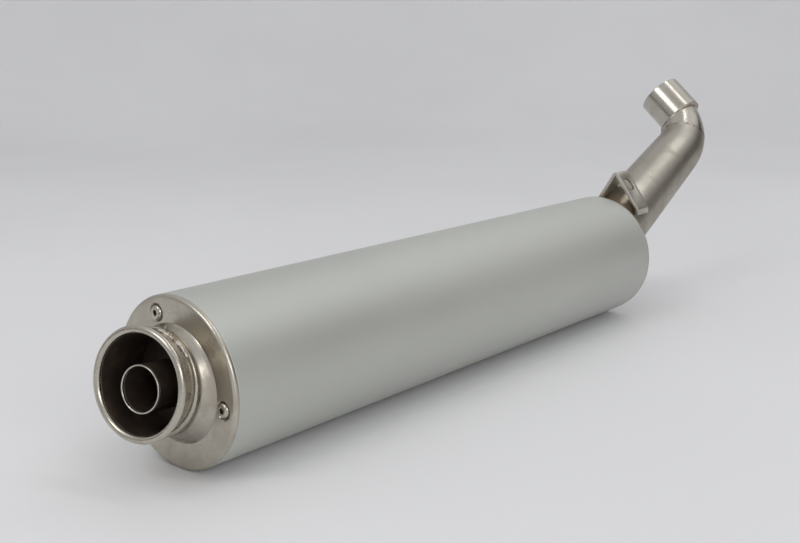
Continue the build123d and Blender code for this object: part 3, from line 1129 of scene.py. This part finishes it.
@dataclass
class LinkPipe:
    """Tapered pipe with its bend, polished elbow, slip collar and their welds."""

    root: tuple[float, float, float] = (2.0, 484.0, 9.2)
    lean_deg: float = 8.87
    rise_deg: float = 34.2
    wall: float = 1.2
    root_radius: float = 28.3
    run: float = 133.0
    bend_start_radius: float = 22.8
    bend_radius: float = 47.3
    bend_deg: float = 71.1
    seam_deg: float = 26.0
    elbow_end_deg: float = 62.0
    elbow_end_radius: float = 17.9
    past_collar_deg: float = 75.0
    collar_axis: tuple[float, float, float] = (-0.752, 0.062, 0.656)
    collar_overlap: float = 15.9
    collar: float = 20.5
    collar_wall: float = 1.4
    collar_length: float = 33.0
    bead_length: float = 1.2
    seam_bead: tuple[float, float, float] = (2.3, 0.32, 1.5)
    neck_bead: tuple[float, float, float] = (4.2, 1.5, 2.2)
    inner_end_y: float = 468.1
    face_y: float = 483.0
    count: int = 160
    jig: Jig = field(init=False)
    bend: Jig = field(init=False)
    collar_jig: Jig = field(init=False)

    def __post_init__(self) -> None:
        """Sets up the jigs of the run, the bend and the collar."""
        lean, rise = math.radians(self.lean_deg), math.radians(self.rise_deg)
        along = Vector((math.sin(lean) * math.cos(rise), math.cos(lean) * math.cos(rise), math.sin(rise)))
        axis = Vector(self.collar_axis).normalized()
        self.jig = Jig.along(self.root, along, axis)
        self.bend = self.jig.shifted(self.run)
        end = self.centre(self.run + self.bend_radius * math.radians(self.bend_deg))
        self.collar_jig = Jig.along(end - axis * self.collar_overlap, axis, (0, 1, 0))

    def centre(self, travel: float) -> Vector:
        """Point of the centre line at a distance from the root, measured along it."""
        if travel <= self.run:
            return self.jig.at(0, 0, travel)
        a = (travel - self.run) / self.bend_radius
        return self.bend.at(self.bend_radius * (1 - math.cos(a)), 0, self.bend_radius * math.sin(a))

    def radius(self, travel: float) -> float:
        """Outer radius at a distance along the centre line."""
        if travel <= self.run:
            return self.root_radius + (self.bend_start_radius - self.root_radius) * travel / self.run
        share = math.degrees((travel - self.run) / self.bend_radius) / self.elbow_end_deg
        return self.bend_start_radius + (self.elbow_end_radius - self.bend_start_radius) * share

    def wall_point(self, travel: float, turn: float, inset: float = 0.0) -> Vector:
        """Point on the pipe's wall.

        Args:
            travel: distance along the centre line.
            turn: angle round it, from the inside of the bend.
            inset: distance inwards from the outer surface.

        Returns:
            The point.
        """
        a = max(0.0, travel - self.run) / self.bend_radius
        inner = self.jig.x * math.cos(a) - self.jig.z * math.sin(a)
        r = self.radius(travel) - inset
        return self.centre(travel) + (inner * math.cos(turn) + self.jig.y * math.sin(turn)) * r

    def ring(self, travel: float, inset: float = 0.0) -> Ring:
        """Ring of the pipe square to its centre line."""
        return [self.wall_point(travel, t, inset) for t in turns(self.count)]

    def meet(
        self, turn: float, inset: float, gap: Callable[[Vector], float], low: float, high: float
    ) -> float:
        """Travel at which a line of the wall crosses a plane.

        Args:
            turn: angle of the line.
            inset: distance inwards from the outer surface.
            gap: signed distance of a point past the plane.
            low: a travel before the plane.
            high: a travel past it.

        Returns:
            The travel.
        """
        for _ in range(30):
            middle = (low + high) / 2
            if gap(self.wall_point(middle, turn, inset)) < 0:
                low = middle
            else:
                high = middle
        return (low + high) / 2

    def at_height(self, y: float, inset: float, count: int) -> list[float]:
        """Travel of each line of the wall where it crosses a height along the canister.

        Args:
            y: the height.
            inset: distance inwards from the outer surface.
            count: lines round the pipe.

        Returns:
            The travels.
        """
        return [self.meet(t, inset, lambda p: p.y - y, -60.0, 60.0) for t in turns(count)]

    def at_collar(self, inset: float) -> list[float]:
        """Travel of each line of the wall where it crosses the collar's plane."""
        flat = self.collar_jig
        low, high = self.travel_at(self.seam_deg), self.travel_at(self.past_collar_deg)

        def past(point: Vector) -> float:
            """Distance of a point past the collar's plane."""
            return (point - flat.origin).dot(flat.z)

        return [self.meet(t, inset, past, low, high) for t in turns(self.count)]

    def travel_at(self, bend_deg: float) -> float:
        """Travel at an angle of the bend."""
        return self.run + self.bend_radius * math.radians(bend_deg)

    def between(
        self, starts: Sequence[float], ends: Sequence[float], shares: Sequence[float], inset: float
    ) -> list[Ring]:
        """Rings between two rows of travels.

        Args:
            starts: travel of each line at the start.
            ends: travel of each line at the end.
            shares: places of the rings, from 0 to 1.
            inset: distance inwards from the outer surface.

        Returns:
            The rings.
        """
        return [
            [self.wall_point(a + (b - a) * s, t, inset) for t, a, b in zip(turns(self.count), starts, ends)]
            for s in shares
        ]

    def tube(
        self, name: str, ends: Callable[[float], tuple[Sequence[float], Sequence[float]]], steps: int
    ) -> bpy.types.Object:
        """Makes a length of pipe with both walls.

        Args:
            name: name of the piece.
            ends: start and end travels of each line at an inset.
            steps: rings along each wall.

        Returns:
            The piece.
        """
        shares = [0.0, 0.004, *(k / steps for k in range(1, steps)), 0.996, 1.0]
        outer = self.between(*ends(0.0), shares, 0.0)
        inner = self.between(*ends(self.wall), shares[::-1], self.wall)
        return ringed_piece(name, outer + inner)

    def hole(self, across: float, up: float) -> float:
        """Radius of the front cap's hole in one direction."""
        low, high = 5.0, 60.0
        for _ in range(30):
            middle = (low + high) / 2
            spot = Vector((middle * across, self.face_y, middle * up))
            inside = self.jig.radius_of(spot) < self.radius((spot - self.jig.origin).dot(self.jig.z)) + 0.15
            low, high = (middle, high) if inside else (low, middle)
        return low

    def build_pipe(self) -> bpy.types.Object:
        """Rolls the tapered run and the first part of the bend."""
        seam = [self.travel_at(self.seam_deg)] * self.count

        def ends(inset: float) -> tuple[list[float], list[float]]:
            """Start and end travels of each line of the wall."""
            return self.at_height(self.inner_end_y, inset, self.count), seam

        return self.tube("link_pipe_tapered", ends, 60)

    def build_elbow(self) -> bpy.types.Object:
        """Bends the polished elbow up to the collar's plane."""
        seam = [self.travel_at(self.seam_deg)] * self.count
        return self.tube("link_elbow_polished", lambda inset: (seam, self.at_collar(inset)), 24)

    def build_seam(self) -> bpy.types.Object:
        """Lays the ground-down bead between pipe and elbow."""
        travel = self.travel_at(self.seam_deg)
        path = [self.wall_point(travel, t, 0.10) for t in turns(240)]
        out = [(p - self.centre(travel)).normalized() for p in path]
        return ringed_piece("elbow_seam_weld", bead_rings(path, out, *self.seam_bead, closed=True))

    def build_neck_weld(self) -> bpy.types.Object:
        """Lays the bead round the pipe's root on the front cap."""
        count = 360
        travels = self.at_height(self.face_y + 0.6, 0.0, count)
        path = [self.wall_point(s, t, -0.5) for s, t in zip(travels, turns(count))]
        middle = Vector((sum(p.x for p in path) / count, self.face_y, sum(p.z for p in path) / count))
        out = []
        for p in path:
            away = p - middle
            out.append((Vector((away.x, 0, away.z)).normalized() + Vector((0, 1, 0))).normalized())
        return ringed_piece("neck_weld_bead", bead_rings(path, out, *self.neck_bead, closed=True))

    def build_collar(self) -> bpy.types.Object:
        """Turns the slip collar with eased ends."""
        r, inner = self.collar, self.collar - self.collar_wall
        start, end = self.bead_length, self.bead_length + self.collar_length
        profile = rounded([(inner, start, 0.4), (r, start, 0.9), (r, end, 0.5), (inner, end, 0.5)])
        return ringed_piece("slip_collar", lathe_rings(self.collar_jig, profile, 160))

    def build_collar_weld(self) -> bpy.types.Object:
        """Lays the recessed bead between elbow and collar."""
        ends = self.at_collar(0.0)
        elbow = [self.wall_point(s, t, 0.0) for s, t in zip(ends, turns(self.count))]
        flat = self.collar_jig
        rings: list[Ring] = []
        wide = self.collar - 0.25
        for share, lift in ((0.0, -0.5), (0.25, -0.15), (0.6, 0.05), (1.0, 0.25)):
            ring = []
            for p in elbow:
                rel = p - flat.origin
                level = rel - flat.z * rel.dot(flat.z)
                away = level.normalized()
                inner = flat.origin + away * level.length
                ring.append(inner.lerp(flat.origin + away * wide, share) + flat.z * lift)
            rings.append(ring)
        rings.append([p + flat.z * (self.bead_length - 0.3) for p in rings[-1]])
        rings.append([p + flat.z * (self.bead_length + 0.35) for p in rings[0]])
        return ringed_piece("collar_weld_bead", rings)

    def make(self) -> None:
        """Builds, finishes and fits every piece of the link pipe."""
        brushed = SatinSteel("link steel", stretch=(1.0, 0.10, 0.14), rough=(0.34, 0.46), grain=0.30,
                             staining=0.40, light=(0.440, 0.415, 0.365), stain=(0.27, 0.23, 0.185))
        pipe = self.build_pipe()
        # The brown patch lies under the hanger strap: partly heat tint from its welds, partly painted shade
        # of the strap.
        wear(pipe, TintAndShadeSteel(brushed, (6.0, 488.0, 42.0)).material())
        fit(pipe, Slot.LINK, "link_pipe")
        shiny = SatinSteel("elbow steel", rough=(0.20, 0.28), grain=0.10, mottle=0.05, staining=0.3,
                           light=(0.50, 0.475, 0.425))
        elbow = self.build_elbow()
        wear(elbow, shiny.material())
        fit(elbow, Slot.ELBOW, "link_elbow")
        bright = SatinSteel("collar steel", jig=self.collar_jig, rough=(0.19, 0.27), grain=0.16,
                            staining=0.35, light=(0.50, 0.48, 0.43))
        collar = self.build_collar()
        wear(collar, bright.material())
        fit(collar, Slot.COLLAR, "inlet_collar")
        welds = {
            "neck_weld": self.build_neck_weld(),
            "elbow_weld": self.build_seam(),
            "collar_weld": self.build_collar_weld(),
        }
        for node, weld in welds.items():
            light = LIGHT_WELD if node == "elbow_weld" else PLAIN_WELD
            wear(weld, WeldSteel(node.replace("_", " "), light=light).material())
            fit(weld, Slot.WELD, node)


@dataclass
class Hanger:
    """Folded hanger strap over the link pipe, with its bolt hole.

    Args:
        link: pipe that the strap is fitted to.
    """

    link: LinkPipe
    sheet: float = 3.0
    width: float = 20.0
    rear_y: float = 491.0
    apex: tuple[float, float] = (10.0, 76.4)
    outer_slope_deg: float = 54.0
    inner_slope_deg: float = 58.0
    leg: float = 38.5
    fold: float = 1.7
    drop: float = 5.0
    flange_fold: float = 3.0
    hole: float = 6.5
    hole_down: float = 14.0
    edge: float = 0.45
    crease_deg: float = 32.0
    fold_steps: int = 10
    edge_steps: int = 4

    def top(self) -> Vector:
        """Corner of the strap's centre line at its fold, in X and Z."""
        mean = math.radians((self.outer_slope_deg + self.inner_slope_deg) / 2)
        return Vector((self.apex[0], self.apex[1] - self.sheet / 2 / math.cos(mean)))

    def line(self) -> list[Vector]:
        """Centre line of the strap in X and Z, with its folds rounded."""
        outer, inner = math.radians(self.outer_slope_deg), math.radians(self.inner_slope_deg)
        top = self.top()
        corners = [top + Vector((-math.cos(inner), -math.sin(inner))) * self.leg, top]
        corners.append(top + Vector((math.cos(outer), -math.sin(outer))) * self.leg)
        corners.append(corners[-1] - Vector((0, self.drop)))
        out = [corners[0]]
        folds = (self.fold, self.flange_fold)
        for before, here, after, radius in zip(corners, corners[1:], corners[2:], folds):
            a, b = (before - here).normalized(), (after - here).normalized()
            half = a.angle(b) / 2
            middle = here + (a + b).normalized() * (radius / math.sin(half))
            first, last = here + a * (radius / math.tan(half)), here + b * (radius / math.tan(half))
            out.append(first.lerp(out[-1], 0.04))
            sweep = (first - middle).angle_signed(last - middle)
            rel = first - middle
            for k in range(self.fold_steps + 1):
                angle = -sweep * k / self.fold_steps
                c, s = math.cos(angle), math.sin(angle)
                out.append(middle + Vector((rel.x * c - rel.y * s, rel.x * s + rel.y * c)))
            out.append(last.lerp(after, 0.04))
        out.append(corners[-1])
        return out

    def outline(self, inset: float) -> list[Vector]:
        """Closed outline of the strap's section, drawn in by an inset."""
        line = self.line()
        half = self.sheet / 2 - inset
        left, right = [], []
        for i, p in enumerate(line):
            ahead = line[min(i + 1, len(line) - 1)]
            behind = line[max(i - 1, 0)]
            way = (ahead - behind).normalized()
            side = Vector((-way.y, way.x))
            end = way * (inset if i == 0 else -inset if i == len(line) - 1 else 0.0)
            left.append(p + side * half + end)
            right.append(p - side * half + end)
        return left + right[::-1]

    def blank(self) -> bpy.types.Object:
        """The folded strap before its hole is cut and its feet are fitted to the pipe."""
        rings = []
        stations = []
        for k in range(self.edge_steps + 1):
            a = math.pi / 2 * k / self.edge_steps
            stations.append((self.edge * (1 - math.cos(a)), self.edge * (1 - math.sin(a))))
        far = [(self.width - y, inset) for y, inset in stations[::-1]]
        for y, inset in stations + far:
            rings.append([Vector((p.x, self.rear_y + y, p.y)) for p in self.outline(inset)])
        return ringed_piece("hanger_strap", rings, looped=False)

    def hole_jig(self) -> Jig:
        """Jig of the bolt hole, on the outer leg's outer face and pointing outwards."""
        slope = math.radians(self.outer_slope_deg)
        out = Vector((math.sin(slope), 0, math.cos(slope)))
        down = Vector((math.cos(slope), 0, -math.sin(slope))) * self.hole_down
        top = self.top()
        place = Vector((top.x, self.rear_y + self.width / 2, top.y)) + down + out * (self.sheet / 2)
        return Jig.along(place, out, (0, 1, 0))

    def punch(self) -> bpy.types.Object:
        """Tool that cuts the bolt hole with eased edges."""
        hole, e, past = self.hole, self.edge, 2.0
        half = [(hole, -e), (hole + 0.3 * e, -0.35 * e), (hole + e, 0.0), (hole + past, past)]
        profile = [(r, -self.sheet - z) for r, z in half[::-1]] + half
        return ringed_piece("bolt_hole_punch", lathe_rings(self.hole_jig(), profile, 64), looped=False)

    def pipe_plug(self) -> bpy.types.Object:
        """Tool that fits the strap's feet to the pipe."""
        rings = [self.link.ring(s, -0.03) for s in (-5.0, 20.0, 60.0, 100.0)]
        return ringed_piece("pipe_plug", rings, looped=False)

    def cut(self, piece: bpy.types.Object, tools: Sequence[bpy.types.Object]) -> None:
        """Cuts tools out of a piece and throws the tools away.

        Args:
            piece: what is cut.
            tools: what is cut out of it.
        """
        for tool in tools:
            made = piece.modifiers.new(tool.name, "BOOLEAN")
            made.operation, made.solver, made.object = "DIFFERENCE", "EXACT", tool
        graph = bpy.context.evaluated_depsgraph_get()
        mesh = bmesh.new()
        mesh.from_object(piece, graph)
        piece.modifiers.clear()
        bmesh.ops.recalc_face_normals(mesh, faces=mesh.faces)
        mesh.to_mesh(piece.data)
        mesh.free()
        piece.data.shade_smooth()
        piece.data.set_sharp_from_angle(angle=math.radians(self.crease_deg))
        for tool in tools:
            bpy.data.meshes.remove(tool.data)

    def keep_largest(self, piece: bpy.types.Object) -> None:
        """Drops every loose part of a piece but the largest."""
        mesh = bmesh.new()
        mesh.from_mesh(piece.data)
        left = set(mesh.verts)
        parts = []
        while left:
            seed = left.pop()
            part, edge = {seed}, [seed]
            while edge:
                vert = edge.pop()
                for link in vert.link_edges:
                    other = link.other_vert(vert)
                    if other not in part:
                        part.add(other)
                        edge.append(other)
            left -= part
            parts.append(part)
        parts.sort(key=len)
        for part in parts[:-1]:
            bmesh.ops.delete(mesh, geom=list(part), context="VERTS")
        mesh.to_mesh(piece.data)
        mesh.free()

    def make(self) -> None:
        """Builds, finishes and fits the strap."""
        strap = self.blank()
        self.cut(strap, [self.punch(), self.pipe_plug()])
        self.keep_largest(strap)
        satin = SatinSteel("bracket steel", stretch=ALONG_Y, rough=(0.34, 0.46), grain=0.22, staining=0.35,
                           light=(0.62, 0.595, 0.54))
        wear(strap, satin.material())
        fit(strap, Slot.BRACKET, "hanger_bracket")


@dataclass
class CarriedParts:
    """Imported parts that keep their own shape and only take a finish."""

    nodes: dict[str, bpy.types.Object]

    def make(self) -> None:
        """Finishes the hidden parts and the hanger's welds."""
        inner = SatinSteel("inner steel", stretch=ALONG_Y, rough=(0.35, 0.5), grain=0.3, staining=0.8,
                           light=(0.30, 0.27, 0.235), stain=(0.05, 0.04, 0.03))
        steel = inner.material()
        for name in ("core_tube", "rear_end_plate", "front_end_plate"):
            wear(self.nodes[name], steel)
        wear(self.nodes["glass_wool"], GlassWool().material())
        welds = self.nodes["bracket_welds"]
        wear(welds, WeldSteel("bracket welds").material())
        LOG.info("carried parts finished")


# ---------------------------------------------------------------- studio


@dataclass
class Studio:
    """Seamless pale floor that curves up all round, soft lights and the camera."""

    floor_z: float = -0.052
    flat: float = 1.7
    sweep: float = 1.3
    height: float = 2.6
    centre: tuple[float, float] = (0.0, 0.3)
    paper: tuple[Colour, Colour] = ((0.76, 0.76, 0.768), (0.80, 0.80, 0.808))
    sky: Colour = (0.98, 0.985, 1.0)
    sky_strength: float = 0.70
    camera_place: tuple[float, float, float] = (0.4738, -0.3720, 0.1960)
    camera_turn_deg: tuple[float, float, float] = (77.48, 0.0, 39.65)
    lens: float = 48.277

    def backdrop(self) -> bpy.types.Object:
        """Builds the seamless bowl."""
        profile: Profile = [(0.001, 0.0), (0.3, 0.0), (0.7, 0.0), (1.2, 0.0), (self.flat, 0.0)]
        steps = 24
        for k in range(1, steps + 1):
            a = math.pi / 2 * k / steps
            profile.append((self.flat + self.sweep * math.sin(a), self.sweep * (1 - math.cos(a))))
        profile.append((self.flat + self.sweep, self.height))
        jig = Jig.along((self.centre[0] / MM, self.centre[1] / MM, self.floor_z / MM), (0, 0, 1), (1, 0, 0))
        mesh = bmesh.new()
        skin(mesh, lathe_rings(jig, [(r / MM, z / MM) for r, z in profile], 96))
        piece = finish_piece("seamless_floor", mesh)
        box = Paintbox("floor paper")
        cloud = box.noise(1.4, detail=3.0)
        tone = box.mixed(box.spread(cloud, 0.35, 0.7), *self.paper)
        wear(piece, box.dress(tone, 0.55, box.bump(box.noise(240.0), 0.05, 0.1), metal=0.0))
        return piece

    def light(
        self, name: str, place: Sequence[float], target: Sequence[float], size: tuple[float, float],
        power: float, colour: Colour = (1.0, 1.0, 1.0),
    ) -> bpy.types.Object:
        """Hangs one soft box.

        Args:
            name: name of the light.
            place: its middle, in metres.
            target: point that it faces.
            size: width and height in metres.
            power: watts.
            colour: colour of the light.

        Returns:
            The light.
        """
        data = bpy.data.lights.new(name, "AREA")
        data.shape = "RECTANGLE"
        data.size, data.size_y = size
        data.energy, data.color = power, colour
        lamp = bpy.data.objects.new(name, data)
        lamp.location = place
        lamp.rotation_euler = (Vector(target) - Vector(place)).to_track_quat("-Z", "Y").to_euler()
        lamp.visible_camera = False
        bpy.context.scene.collection.objects.link(lamp)
        return lamp

    def card(self, name: str, place: Sequence[float], size: tuple[float, float], tone: Colour) -> None:
        """Stands a dark card beside the floor that only gloss sees.

        Args:
            name: name of the card.
            place: its middle, in metres; it faces the canister.
            size: width and height in metres.
            tone: colour of the card.
        """
        mesh = bmesh.new()
        wide, high = size[0] / 2, size[1] / 2
        corners = ((-wide, -high, 0), (wide, -high, 0), (wide, high, 0), (-wide, high, 0))
        mesh.faces.new([mesh.verts.new(p) for p in corners])
        data = bpy.data.meshes.new(name)
        mesh.to_mesh(data)
        mesh.free()
        card = bpy.data.objects.new(name, data)
        card.location = place
        target = Vector((self.centre[0], self.centre[1], 0.0))
        card.rotation_euler = (target - Vector(place)).to_track_quat("Z", "Y").to_euler()
        bpy.context.scene.collection.objects.link(card)
        felt = Paintbox(name)
        nap = felt.noise(300.0, detail=2.0)
        wear(card, felt.dress(tone, 0.95, felt.bump(nap, 0.2, 0.3), metal=0.0))
        card.visible_camera = card.visible_diffuse = card.visible_shadow = card.visible_transmission = False

    def room(self) -> None:
        """Sets the even pale room above the floor and shows tones as they are."""
        world = bpy.data.worlds.new("studio room")
        bpy.context.scene.world = world
        world.use_nodes = True
        tree = world.node_tree
        sky = tree.nodes["Background"]
        sky.inputs["Color"].default_value = (*self.sky, 1.0)
        sky.inputs["Strength"].default_value = self.sky_strength
        bpy.context.scene.view_settings.view_transform = "Standard"

    def camera(self) -> None:
        """Sets up the camera."""
        data = bpy.data.cameras.new("camera")
        data.lens, data.sensor_width = self.lens, 36.0
        data.clip_start, data.clip_end = 0.01, 50.0
        eye = bpy.data.objects.new("camera", data)
        eye.location = self.camera_place
        eye.rotation_euler = [math.radians(a) for a in self.camera_turn_deg]
        bpy.context.scene.collection.objects.link(eye)
        bpy.context.scene.camera = eye

    def make(self) -> None:
        """Builds the studio."""
        self.camera()
        self.room()
        self.backdrop()
        self.card("dark_card_right", (1.45, 1.75, 0.62), (2.6, 1.0), (0.10, 0.085, 0.065))
        self.card("dark_card_low_left", (-1.1, -1.35, 0.10), (0.9, 0.28), (0.12, 0.10, 0.075))
        middle = (*self.centre, 0.0)
        self.light("far_box", (0.1, 1.9, 1.7), middle, (1.9, 1.3), 2.5)
        self.light("near_box", (-0.1, -1.1, 1.3), middle, (0.7, 0.6), 5.2, (1.0, 0.985, 0.96))
        self.light("side_fill", (2.1, -0.8, 1.05), (0.0, 0.25, 0.0), (1.6, 0.9), 13.0)
        self.light("overhead_strip", (0.62, 0.70, 1.75), (0.0, 0.6, 0.1), (0.12, 1.1), 3.0)


def main() -> None:
    """Builds the studio and every sub-assembly in order."""
    logging.basicConfig(level=logging.INFO, format="%(name)s %(message)s")
    Studio().make()
    sleeve = Sleeve()
    sleeve.dress(sleeve.build())
    tail, link = TailPiece(), LinkPipe()
    rear_screws = CapScrews("rear_cap_screws", "rear_screws", REAR_END, (-18.5, 99.5, 221.5))
    front_screws = CapScrews("front_cap_screws", "front_screws", FRONT_END, (75.0, 180.0, 285.0))
    for part in (
        EndCap("rear_cap_pressed", "rear_cap", REAR_END, tail.hole, rear_screws),
        EndCap("front_cap_pressed", "front_cap", FRONT_END, link.hole, front_screws),
        rear_screws,
        front_screws,
    ):
        part.dress(part.build())
    tail.make()
    link.make()
    Hanger(link).make()
    CarriedParts(frame["nodes"]).make()


if __name__ == "__main__":
    main()
